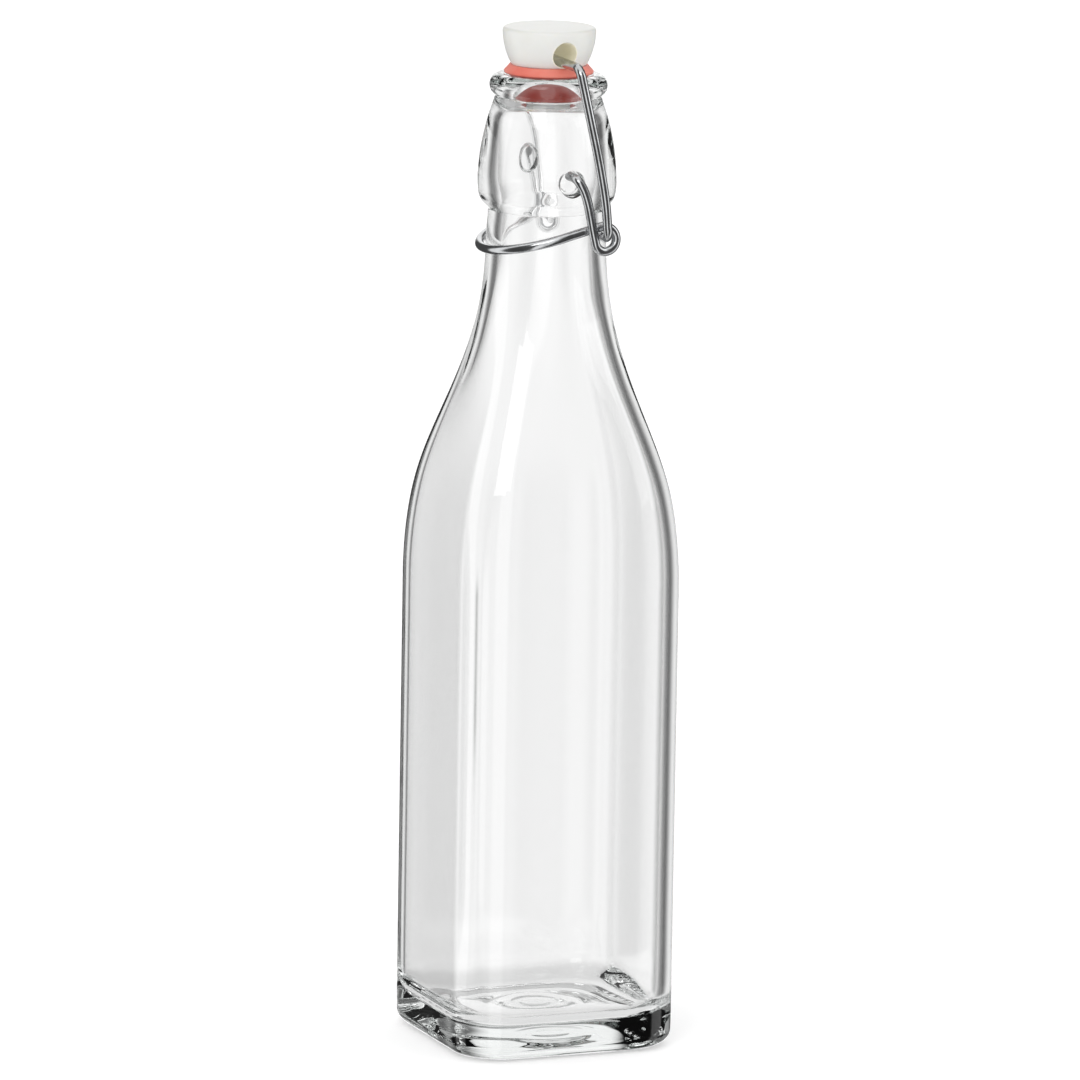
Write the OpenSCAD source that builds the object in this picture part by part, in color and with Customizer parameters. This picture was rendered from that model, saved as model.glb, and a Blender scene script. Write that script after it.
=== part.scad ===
// Square half-litre glass bottle with a swing-top closure.
// Origin: centre of the base, on the plane the bottle stands on. +Z runs up through the mouth.
// The pivots lie along Y, and the closure lever hangs round the neck on the -X side.

/* [Glass body] */
// Width across the flat sides
body_w = 63; // [60:0.5:66]
// Share of the half width that the rounded corners of the body take up
corner_share = 0.42; // [0.36:0.01:0.5]
// Glass thickness of the flat sides
wall = 3; // [2.4:0.1:3.6]
// Height of the glass floor inside the bottle
floor_z = 8.5; // [7.5:0.5:11]
// Radius of the rounded edge round the foot
heel_r = 4.5; // [3.5:0.5:6]
// Rise of the hollow under the foot
punt_rise = 3; // [2:0.5:4]
// Height where the sides start to curve in
shoulder_z = 124; // [112:1:130]

/* [Neck and mouth] */
// Height where the shoulder has become a round neck
neck_z = 219.5; // [217:0.5:221]
// Radius of the round neck under the collar
neck_r = 15.7; // [15.4:0.1:16]
// Largest radius of the collar that carries the pivots
collar_r = 18.6; // [18.3:0.1:18.7]
// Height of the top of the lip
lip_z = 260.5; // [260:0.1:260.6]
// Radius of the bore in the lip
bore_r = 9.1; // [8.8:0.1:9.3]
// Radius of the blind sockets for the lever pins
socket_r = 3.4; // [3.2:0.1:3.6]
// Depth of those sockets below the collar's surface
socket_depth = 3.3; // [3:0.1:3.5]

/* [Stopper] */
// Radius of the stopper's top
stopper_r = 12.4; // [12:0.1:13]
// Height of the stopper's top
stopper_z = 273; // [272:0.1:274]
// Radius of the cross hole for the bail
hole_r = 3.3; // [3:0.1:3.4]

/* [Wires] */
// Diameter of both wires
wire_d = 2.5; // [2:0.1:2.5]
// Height of the lever's pivot axis
pivot_z = 235.2; // [234.8:0.1:235.4]
// How far the eyelets stand to the +X side of the pivot
eye_x = 8.8; // [8:0.1:9.2]
// Height of the middle of the eyelets
eye_z = 218.6; // [218.3:0.1:218.8]
// Radius of the eyelets, at the middle of the wire
eye_r = 3.25; // [3.1:0.05:3.4]
// Height of the bail's straight bar, in the stopper
bar_z = 264.6; // [264.5:0.05:264.7]

/* [Hidden] */

glass = [0.86, 0.91, 0.9, 0.45];
white = [0.95, 0.95, 0.93];
red = [0.9, 0.36, 0.3];
steel = [0.72, 0.73, 0.74];

body_half = body_w / 2;
wire_r = wire_d / 2;
pin_r = wire_r + 0.02;          // the straight pins are true cylinders, just proud of the swept wire
round_fn = 96;

// ---- Outline of the bottle ----
shoulder_pull = 0.94;           // below 1, the shoulder turns in low down
shoulder_snap = 1.825;          // how sharply it turns in
round_from = 0.24;              // share of the shoulder's height at which the corners start to open out
shoulder_top_r = 16;
neck_wall = 4.2;
wall_from = 0.7;                // share of the shoulder's height above which the wall thickens
corner_steps = 12;
shoulder_rings = 24;
inner_rings = 20;
heel_rings = 4;
inner_heel_r = 6.5;
least_flat = 0.1;               // half length of the flats that are left where the neck is round
foot_in = body_half - heel_r;   // outer edge of the flat ring that the bottle stands on
foot_w = 3;
collar_low_z = neck_z + 5.2;    // underside of the collar, where it meets the neck
collar_wide_z = 230.5;
collar_arc_r = 66;
bead_r = 3.14;                  // the rounded lip
bead_z = lip_z - bead_r;
bead_in_r = 12.62;
bead_foot_z = bead_z - 3.2;
collar_in_r = 13.4;             // the hollow widens inside the collar
neck_in_r = 11.5;
socket_z = pivot_z - socket_r + wire_r + 0.3;   // the pins sit against the top of their sockets

function smooth_step(x) = let (c = min(max(x, 0), 1)) c * c * (3 - 2 * c);
function mix(a, b, k) = a + (b - a) * k;
function climb(z) = (z - shoulder_z) / (neck_z - shoulder_z);
function taper(t) = t <= 0 ? 0 : t >= 1 ? 1 :
    1 / (1 + pow(shoulder_pull * (1 - t) / t, shoulder_snap));

// half width, and the share of it that is corner, at a height on the outside
function half_at(z) = mix(body_half, shoulder_top_r, taper(climb(z)));
function share_at(z) = mix(corner_share, 1, smooth_step((climb(z) - round_from) / (1 - round_from)));
function wall_at(z) = mix(wall, neck_wall, smooth_step((climb(z) - wall_from) / (1 - wall_from)));

// one closed ring of a rounded square: half width a, corner radius r, height z
function ring(a, r, z) =
    let (c = max(a - r, least_flat), k = a - c)
    [for (q = [0:3], i = [0:corner_steps])
        let (t = 90 * q + 90 * i / corner_steps, m = 90 * q + 45)
        [c * sign(cos(m)) + k * cos(t), c * sign(sin(m)) + k * sin(t), z]];
function outer_ring(z) = let (a = half_at(z)) ring(a, a * share_at(z), z);
function inner_ring(z, inset = 0) =
    let (a = half_at(z) - wall_at(z) - inset, r = half_at(z) * share_at(z) - wall_at(z) - inset)
    ring(a, max(r, a * 0.3), z);
function heel_angle(i) = 90 * i / heel_rings;

// rings from the middle of the hollow foot, up the outside, over to the bore and down the inside
function bottle_rings() = concat(
    [for (k = [0.3, 0.55, 0.78]) let (a = foot_in * k)
        ring(a, a * corner_share, punt_rise * (1 - pow(k / 0.88, 3)))],
    [let (a = foot_in - foot_w) ring(a, a * corner_share, 0)],
    [for (i = [0:heel_rings]) let (a = foot_in + heel_r * sin(heel_angle(i)))
        ring(a, a * corner_share, heel_r * (1 - cos(heel_angle(i))))],
    [for (i = [0:shoulder_rings]) outer_ring(mix(shoulder_z, neck_z, i / shoulder_rings))],
    [for (i = [0:inner_rings]) inner_ring(mix(neck_z, shoulder_z, i / inner_rings))],
    [for (i = [0:heel_rings])
        inner_ring(floor_z + inner_heel_r * (1 - sin(heel_angle(i))),
            inner_heel_r * (1 - cos(heel_angle(i))))]);

// skin over a list of rings with the same number of points, closed at both ends
module skin(rings) {
    n = len(rings[0]);
    last = (len(rings) - 1) * n;
    polyhedron(
        points = [for (r = rings, p = r) p],
        faces = concat(
            [[for (i = [0:n - 1]) i]],
            [for (k = [0:len(rings) - 2], i = [0:n - 1], h = [0, 1])
                let (a = k * n + i, b = k * n + (i + 1) % n)
                h == 0 ? [a, a + n, b] : [b, a + n, b + n]],
            [[for (i = [n - 1:-1:0]) last + i]]),
        convexity = 8);
}

// the outside of the collar, a long arc that narrows upwards
function collar_at(z) = collar_r - collar_arc_r + sqrt(pow(collar_arc_r, 2) - pow(z - collar_wide_z, 2));

module neck_section() {
    polygon(concat(
        [[shoulder_top_r - neck_wall, neck_z - 1], [neck_r - 0.2, neck_z - 1]],
        [[shoulder_top_r - 0.02, neck_z]],
        [[neck_r, neck_z + 2.5]],
        [[neck_r, collar_low_z - 0.5], [neck_r + 0.4, collar_low_z + 0.1]],
        [[collar_r - 0.9, collar_low_z + 2], [collar_r - 0.2, collar_low_z + 3.6]],
        [for (i = [0:10]) let (z = mix(collar_wide_z, bead_foot_z, i / 10)) [collar_at(z), z]],
        [[bead_in_r, bead_foot_z], [bead_in_r, bead_z], [bead_in_r - bead_r, bead_z]],
        [[bore_r, bead_z - 1.6], [bore_r, bead_foot_z - 0.5], [bore_r + 1.3, bead_foot_z - 1.5]],
        [[collar_in_r - 1.1, bead_foot_z - 4.2], [collar_in_r - 0.2, bead_foot_z - 8.2]],
        [[collar_in_r, collar_wide_z + 9.5], [collar_in_r, collar_wide_z + 2]],
        [[collar_in_r - 0.5, collar_wide_z - 1.5]],
        [[neck_in_r, collar_low_z + 0.3], [neck_in_r, neck_z + 3]]));
    translate([bead_in_r, bead_z]) circle(r = bead_r, $fn = 48);
}

module bottle() color(glass) {
    difference() {
        union() {
            skin(bottle_rings());
            rotate_extrude($fn = round_fn) neck_section();
        }
        // blind sockets on both sides of the collar
        for (side = [-1, 1])
            translate([0, side * (collar_r - socket_depth), socket_z])
                rotate([-90 * side, 0, 0])
                    cylinder(r = socket_r, h = socket_depth + 4, $fn = 48);
    }
}

// ---- Stopper and gasket ----
stopper_base_z = lip_z + 2.4;
stopper_side_r = 18.2;          // radius of its curved side
stopper_edge_r = 1;
nub_r = 5.1;
nub_flange_r = 6;
nub_low_z = lip_z - 6.5;
nub_flange_h = 0.85;
hole_z = bar_z - pin_r - 0.06 + hole_r;         // the bar bears on the bottom of the hole

module stopper() color(white) {
    edge_z = stopper_z - stopper_edge_r;
    difference() {
        rotate_extrude($fn = round_fn) {
            polygon(concat(
                [[0, stopper_z], [0, nub_low_z], [nub_flange_r - 0.3, nub_low_z]],
                [[nub_flange_r, nub_low_z + 0.3], [nub_flange_r, nub_low_z + nub_flange_h]],
                [[nub_r, nub_low_z + nub_flange_h], [nub_r, stopper_base_z]],
                [for (i = [0:8]) let (z = mix(stopper_base_z, edge_z, i / 8))
                    [stopper_r - stopper_side_r + sqrt(pow(stopper_side_r, 2) - pow(z - edge_z, 2)), z]],
                [for (i = [1:4]) let (t = 90 * i / 4)
                    [stopper_r - stopper_edge_r * (1 - cos(t)), edge_z + stopper_edge_r * sin(t)]]));
        }
        translate([0, -stopper_r - 1, hole_z])
            rotate([-90, 0, 0]) cylinder(r = hole_r, h = 2 * stopper_r + 2, $fn = 48);
    }
}

gasket_rim_r = 11.9;
gasket_gap = 0.05;              // between the gasket and what it touches

module gasket() color(red) {
    top_z = stopper_base_z - gasket_gap;
    low_z = nub_low_z + nub_flange_h + gasket_gap;
    inner_r = nub_r + gasket_gap;
    rotate_extrude($fn = round_fn)
        polygon([
            [inner_r, low_z], [6.9, low_z], [8.4, lip_z - 3.7], [9.2, lip_z - 2.5],
            [10, lip_z - 1.15], [11, lip_z - 0.25], [gasket_rim_r - 0.2, lip_z + 0.1],
            [gasket_rim_r, lip_z + 0.3], [gasket_rim_r, lip_z + 0.7], [gasket_rim_r - 0.15, lip_z + 0.9],
            [10.5, top_z], [inner_r, top_z]]);
}

// ---- Wires ----
wire_sides = 16;
pin_in_y = 15.7;                  // inner ends of the lever's pins
pin_out_y = 19.2;
leg_eye_y = 20.8;               // the wire comes to the eyelet this far out, and leaves it nearer the neck
loop_eye_y = 18.6;
loop_r = 17.65;
loop_slope = 16;                // the loop hangs lower on the -X side
hook_x = eye_x - 0.3;           // the hook pulls up inside the eyelet
hook_z = eye_z + 0.5;
hook_in_y = 16.9;
hook_out_y = 20.4;
hook_bend_r = 3.2;
bar_out_y = 19.3;
bar_bend_r = 3;

function unit(v) = v / norm(v);
function flip_y(path) = [for (i = [len(path) - 1:-1:0]) [path[i][0], -path[i][1], path[i][2]]];

// Catmull-Rom curve through points, n steps for each span
function spline(p, n) = concat(
    [for (i = [0:len(p) - 2], j = [0:n - 1])
        let (a = p[max(i - 1, 0)], b = p[i], c = p[i + 1], d = p[min(i + 2, len(p) - 1)], t = j / n)
        b + t / 2 * ((c - a) + t * ((2 * a - 5 * b + 4 * c - d) + t * (3 * b - a - 3 * c + d)))],
    [p[len(p) - 1]]);

// direction of the path at a point, and frames that don't twist along it
function heading(path, i) = unit(path[min(i + 1, len(path) - 1)] - path[max(i - 1, 0)]);
function sides_of(path, first) = [
    for (i = 0, s = unit(cross(heading(path, 0), first)); i < len(path);
        i = i + 1, s = i < len(path) ? let (h = heading(path, i)) unit(s - h * (s * h)) : s) s];

module wire(path, first) {
    across = sides_of(path, first);
    skin([for (i = [0:len(path) - 1])
        let (h = heading(path, i), u = across[i], v = cross(h, u))
        [for (k = [0:wire_sides - 1])
            let (t = 360 * k / wire_sides) path[i] + wire_r * (cos(t) * u + sin(t) * v)]]);
}

module pin(x, z, y0, y1) {
    translate([x, y0, z]) rotate([-90, 0, 0]) cylinder(r = pin_r, h = y1 - y0, $fn = 48);
}

// the lever: pin, leg, eyelet and half of the loop on the -Y side, then the same back again
eye_far = norm([eye_x, pivot_z - eye_z]);
leg_lean = atan2(eye_x, pivot_z - eye_z) - asin(eye_r / eye_far);
eye_in = [eye_x - eye_r * cos(leg_lean), -leg_eye_y, eye_z - eye_r * sin(leg_lean)];
function on_leg(k, out, y) = [k * eye_in[0] + out, -y, mix(pivot_z, eye_in[2], k)];
leg_points = [
    on_leg(0, 0, pin_out_y - 1), on_leg(0, 0, pin_out_y), on_leg(0.02, 0.1, 20.7),
    on_leg(0.08, 0.35, 21.6), on_leg(0.18, 0.75, 21.8), on_leg(0.35, 0.9, 21.6),
    on_leg(0.55, 0.7, 21.3), on_leg(0.78, 0.3, 21), eye_in];
function loop_height(x) = eye_z + eye_r * cos(loop_slope)
    + (x - eye_x + eye_r * sin(loop_slope)) * tan(loop_slope);
lever_half = concat(
    spline(leg_points, 3),
    [for (i = [1:16]) let (k = i / 16, t = mix(180 + leg_lean, 450 + loop_slope, k))
        [eye_x + eye_r * cos(t), -mix(leg_eye_y, loop_eye_y, k), eye_z + eye_r * sin(t)]],
    [for (x = [5, 2]) [x, -mix(loop_r, loop_eye_y, x / eye_x), loop_height(x)]],
    [for (i = [0:11]) let (t = 270 - 90 * i / 12)
        [loop_r * cos(t), loop_r * sin(t), loop_height(loop_r * cos(t))]]);

module lever_wire() color(steel) {
    wire(concat(lever_half, [[-loop_r, 0, loop_height(-loop_r)]], flip_y(lever_half)), [0, 0, 1]);
    for (side = [-1, 1])
        pin(0, pivot_z, side < 0 ? -pin_out_y : pin_in_y, side < 0 ? -pin_in_y : pin_out_y);
}

// the bail: half of the bar, the bowed leg and the hook on the -Y side, then the same back again
bail_len = norm([hook_x, bar_z - hook_z]);
bail_lean = atan2(hook_x, bar_z - hook_z);
leg_top_y = bar_out_y + bar_bend_r;
leg_low_y = hook_out_y + hook_bend_r;
function on_bail(y, u) = [u * sin(bail_lean), -y, bar_z - u * cos(bail_lean)];
bail_bow = [[leg_top_y, bar_bend_r], [23.6, 12.5], [24.8, 22], [25.3, 30], [25, 37],
    [leg_low_y, bail_len - hook_bend_r]];
bail_half = concat(
    [on_bail(bar_out_y - 1, 0)],
    [for (i = [0:4]) let (t = 90 * i / 5)
        on_bail(bar_out_y + bar_bend_r * sin(t), bar_bend_r * (1 - cos(t)))],
    [for (p = spline(bail_bow, 4)) on_bail(p[0], p[1])],
    [for (i = [1:5]) let (t = 90 * i / 5)
        on_bail(hook_out_y + hook_bend_r * cos(t), bail_len - hook_bend_r * (1 - sin(t)))],
    [on_bail(hook_out_y - 1, bail_len)]);

module bail_wire() color(steel) {
    wire(bail_half, [0, 0, 1]);
    wire(flip_y(bail_half), [0, 0, 1]);
    pin(0, bar_z, -bar_out_y, bar_out_y);
    for (side = [-1, 1])
        pin(hook_x, hook_z, side < 0 ? -hook_out_y : hook_in_y, side < 0 ? -hook_in_y : hook_out_y);
}

bottle();
stopper();
gasket();
bail_wire();
lever_wire();
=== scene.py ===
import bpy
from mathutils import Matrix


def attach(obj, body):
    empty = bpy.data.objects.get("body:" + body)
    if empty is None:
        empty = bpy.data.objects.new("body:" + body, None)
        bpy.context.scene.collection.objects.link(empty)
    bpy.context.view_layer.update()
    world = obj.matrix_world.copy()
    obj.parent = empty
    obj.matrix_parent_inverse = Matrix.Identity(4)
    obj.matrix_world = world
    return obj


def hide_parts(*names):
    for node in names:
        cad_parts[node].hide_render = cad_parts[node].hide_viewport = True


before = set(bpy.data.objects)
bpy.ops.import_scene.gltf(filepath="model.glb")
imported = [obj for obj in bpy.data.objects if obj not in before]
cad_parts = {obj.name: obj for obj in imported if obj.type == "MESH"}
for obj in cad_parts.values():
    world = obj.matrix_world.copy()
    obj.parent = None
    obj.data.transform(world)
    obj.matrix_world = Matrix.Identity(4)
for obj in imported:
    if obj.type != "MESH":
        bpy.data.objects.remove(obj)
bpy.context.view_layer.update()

import math
import bpy
from mathutils import Matrix, Vector

mm = 0.001


# small helpers for working in edit mode

def dropSelection():
    if bpy.context.object and bpy.context.object.mode != "OBJECT":
        bpy.ops.object.mode_set(mode="OBJECT")
    bpy.ops.object.select_all(action="DESELECT")


def startEditing(piece, kind="VERT"):
    dropSelection()
    bpy.context.view_layer.objects.active = piece
    piece.select_set(True)
    bpy.ops.object.mode_set(mode="EDIT")
    bpy.ops.mesh.select_mode(type=kind)


def stopEditing():
    bpy.ops.object.mode_set(mode="OBJECT")


def pickEdges(piece, test):
    # picks edges whose two ends pass the test, and leaves edit mode on
    bpy.ops.mesh.select_mode(type="EDGE")
    bpy.ops.mesh.select_all(action="DESELECT")
    bpy.ops.object.mode_set(mode="OBJECT")
    points = piece.data.vertices
    for edge in piece.data.edges:
        edge.select = test(points[edge.vertices[0]].co, points[edge.vertices[1]].co)
    bpy.ops.object.mode_set(mode="EDIT")


def pickFaces(piece, test):
    bpy.ops.mesh.select_mode(type="FACE")
    bpy.ops.mesh.select_all(action="DESELECT")
    bpy.ops.object.mode_set(mode="OBJECT")
    for face in piece.data.polygons:
        face.select = test(face)
    bpy.ops.object.mode_set(mode="EDIT")


def applyModifier(piece, kind, name, **settings):
    dropSelection()
    bpy.context.view_layer.objects.active = piece
    piece.select_set(True)
    modifier = piece.modifiers.new(name, kind)
    for key, value in settings.items():
        setattr(modifier, key, value)
    bpy.ops.object.modifier_apply(modifier=modifier.name)


def bakePlace(piece):
    dropSelection()
    bpy.context.view_layer.objects.active = piece
    piece.select_set(True)
    bpy.ops.object.transform_apply(location=True, rotation=True, scale=True)


def smoothFaces(piece, degrees=40):
    dropSelection()
    bpy.context.view_layer.objects.active = piece
    piece.select_set(True)
    bpy.ops.object.shade_smooth_by_angle(angle=math.radians(degrees))


def tidyMesh(piece, gap=0.00001):
    startEditing(piece)
    bpy.ops.mesh.select_all(action="SELECT")
    bpy.ops.mesh.remove_doubles(threshold=gap)
    bpy.ops.mesh.normals_make_consistent(inside=False)
    stopEditing()


def growRings(profile, startRadius):
    # the picked ring is extruded to each radius and height of the profile in turn
    radius = startRadius
    height = profile[0][1]
    for nextRadius, nextHeight in profile[1:]:
        bpy.ops.mesh.extrude_region_move(TRANSFORM_OT_translate={"value": (0, 0, nextHeight - height)})
        share = nextRadius / radius
        bpy.ops.transform.resize(value=(share, share, 1), center_override=(0, 0, nextHeight))
        radius, height = nextRadius, nextHeight


def latheRound(name, profile, sides, closed):
    # a round piece grown from a circle: closed profiles come back to where they started
    dropSelection()
    radius, height = profile[0]
    bpy.ops.mesh.primitive_circle_add(vertices=sides, radius=radius, location=(0, 0, height),
                                      fill_type="NOTHING" if closed else "NGON")
    piece = bpy.context.object
    piece.name = name
    bakePlace(piece)
    startEditing(piece, "EDGE" if closed else "FACE")
    bpy.ops.mesh.select_all(action="SELECT")
    growRings(profile + ([profile[0]] if closed else []), radius)
    stopEditing()
    tidyMesh(piece, 0.00002)
    return piece


def arc(centre, radius, start, end, steps):
    # points on an arc of a profile, angles in degrees from the +radius direction
    points = []
    for i in range(steps + 1):
        turn = math.radians(start + (end - start) * i / steps)
        points.append((centre[0] + radius * math.cos(turn), centre[1] + radius * math.sin(turn)))
    return points


def easeStep(x):
    x = min(max(x, 0), 1)
    return x * x * (3 - 2 * x)


# bottle

bottle = {
    "halfWidth": 31.5 * mm,
    "cornerShare": 0.42,       # corner radius over half width
    "cornerSteps": 10,
    "flatSteps": 12,
    "wall": 3.0 * mm,
    "neckWall": 4.2 * mm,
    "thickenFrom": 0.7,        # share of the shoulder above which the wall thickens
    "cornerFill": 1.4 * mm,    # how much rounder the corners are inside
    "heel": 4.5 * mm,
    "shoulderStart": 124 * mm,
    "shoulderEnd": 219.5 * mm,
    "shoulderRings": 44,
    "shoulderPull": 0.94,
    "shoulderSnap": 1.825,
    "roundFrom": 0.24,
    "neckTop": 16.0 * mm,
    "neck": 15.7 * mm,
    "collar": 18.6 * mm,
    "collarArc": 66 * mm,
    "collarWide": 230.5 * mm,
    "bore": 9.1 * mm,
    "neckInside": [(11.8 * mm, 219.5 * mm), (11.55 * mm, 221.5 * mm), (11.5 * mm, 223.5 * mm),
                   (11.65 * mm, 225.2 * mm), (12.2 * mm, 227 * mm), (12.8 * mm, 228.8 * mm),
                   (13.2 * mm, 230.8 * mm), (13.4 * mm, 233 * mm), (13.4 * mm, 236 * mm),
                   (13.4 * mm, 239 * mm), (13.35 * mm, 242 * mm), (13.2 * mm, 245 * mm),
                   (12.85 * mm, 247.8 * mm), (12.2 * mm, 249.8 * mm), (11.2 * mm, 251.4 * mm),
                   (10.1 * mm, 252.5 * mm), (9.4 * mm, 253.2 * mm), (9.12 * mm, 253.8 * mm)],
    "lipCentre": (12.62 * mm, 257.36 * mm),
    "lipRadius": 3.14 * mm,
    "floor": 8.5 * mm,
    "innerHeel": 6.5 * mm,
    "floorRings": [(21.0 * mm, 0.40, 8.5 * mm), (17.5 * mm, 0.55, 8.62 * mm), (14.0 * mm, 0.75, 8.9 * mm),
                   (10.5 * mm, 1.0, 9.2 * mm), (7.0 * mm, 1.0, 9.45 * mm), (3.5 * mm, 1.0, 9.62 * mm),
                   (1.2 * mm, 1.0, 9.65 * mm)],
    "footRings": [(26.6 * mm, 0.42, 0.0), (24.3 * mm, 0.42, 0.0), (23.7 * mm, 0.43, 0.3 * mm),
                  (22.6 * mm, 0.46, 1.0 * mm), (21.0 * mm, 0.52, 1.5 * mm), (18.6 * mm, 0.66, 1.95 * mm),
                  (16.0 * mm, 0.85, 2.3 * mm), (13.6 * mm, 1.0, 2.5 * mm), (13.0 * mm, 1.0, 2.85 * mm),
                  (10.0 * mm, 1.0, 2.95 * mm), (9.5 * mm, 1.0, 2.65 * mm), (7.0 * mm, 1.0, 2.75 * mm),
                  (6.5 * mm, 1.0, 3.0 * mm), (4.2 * mm, 1.0, 3.0 * mm), (3.7 * mm, 1.0, 2.8 * mm),
                  (1.5 * mm, 1.0, 2.8 * mm)],
    "dimplePitch": 5.14 * mm,
    "dimpleDepth": 0.55 * mm,
    "socketRadius": 3.4 * mm,
    "socketBottom": 15.3 * mm,
    "socketHeight": 233.35 * mm,
}


def shoulderShare(z):
    return (z - bottle["shoulderStart"]) / (bottle["shoulderEnd"] - bottle["shoulderStart"])


def halfWidthAt(z):
    t = shoulderShare(z)
    if t <= 0:
        return bottle["halfWidth"]
    blend = 1 / (1 + (bottle["shoulderPull"] * (1 - t) / t) ** bottle["shoulderSnap"]) if t < 1 else 1
    return bottle["halfWidth"] + (bottle["neckTop"] - bottle["halfWidth"]) * blend


def cornerShareAt(z):
    t = (shoulderShare(z) - bottle["roundFrom"]) / (1 - bottle["roundFrom"])
    return bottle["cornerShare"] + (1 - bottle["cornerShare"]) * easeStep(t)


def wallAt(z):
    share = (shoulderShare(z) - bottle["thickenFrom"]) / (1 - bottle["thickenFrom"])
    return bottle["wall"] + (bottle["neckWall"] - bottle["wall"]) * easeStep(share)


def cornerReach(share):
    # distance out to the corner for a half width of 1
    return (1 - share) * math.sqrt(2) + share


def addRoundedSquare(name, half, share, z):
    dropSelection()
    bpy.ops.mesh.primitive_plane_add(size=2 * half, location=(0, 0, z))
    piece = bpy.context.object
    piece.name = name
    bakePlace(piece)
    startEditing(piece)
    bpy.ops.mesh.select_all(action="SELECT")
    bpy.ops.mesh.bevel(offset=half * share, offset_type="OFFSET", segments=bottle["cornerSteps"],
                       affect="VERTICES", profile=0.5)
    pickEdges(piece, lambda a, b: (a - b).length > half * (1 - share))
    bpy.ops.mesh.subdivide(number_cuts=bottle["flatSteps"] - 1)
    stopEditing()
    radii = [math.hypot(v.co.x, v.co.y) for v in piece.data.vertices]
    return piece, sum(radii) / len(radii) / half


def growSquareRings(rings, startHalf, startShare, startHeight, meanReach):
    # each ring is (half width, corner share, height); to-sphere opens the corners as the share grows
    half, height, rounded = startHalf, startHeight, 0.0
    scale = startHalf
    cornerStart = cornerReach(startShare)
    for nextHalf, nextShare, nextHeight in rings:
        wanted = cornerReach(max(nextShare, startShare))
        nextRounded = ((cornerStart - wanted) / (cornerStart - wanted + meanReach * (wanted - 1))
                       if wanted > 1.0001 else 1.0)
        nextRounded = max(nextRounded, rounded)
        nextScale = nextHalf / (1 - nextRounded + nextRounded * meanReach)
        bpy.ops.mesh.extrude_region_move(TRANSFORM_OT_translate={"value": (0, 0, nextHeight - height)})
        grow = nextScale / scale
        bpy.ops.transform.resize(value=(grow, grow, 1), center_override=(0, 0, nextHeight))
        if nextRounded > rounded + 0.0005:
            bpy.ops.transform.tosphere(value=1 - (1 - nextRounded) / (1 - rounded) if rounded < 1 else 0)
        scale, height, rounded = nextScale, nextHeight, nextRounded


def heelRings(z, half, radius, share, steps):
    # rings round the rounded edge of the foot, or of the floor inside
    rings = []
    for i in range(1, steps + 1):
        turn = math.radians(90 * i / steps)
        rings.append((half + radius * math.sin(turn), share, z + radius * (1 - math.cos(turn))))
    return rings


def collarAt(z):
    reach = bottle["collarArc"] ** 2 - (z - bottle["collarWide"]) ** 2
    return bottle["collar"] - bottle["collarArc"] + math.sqrt(reach)


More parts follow.
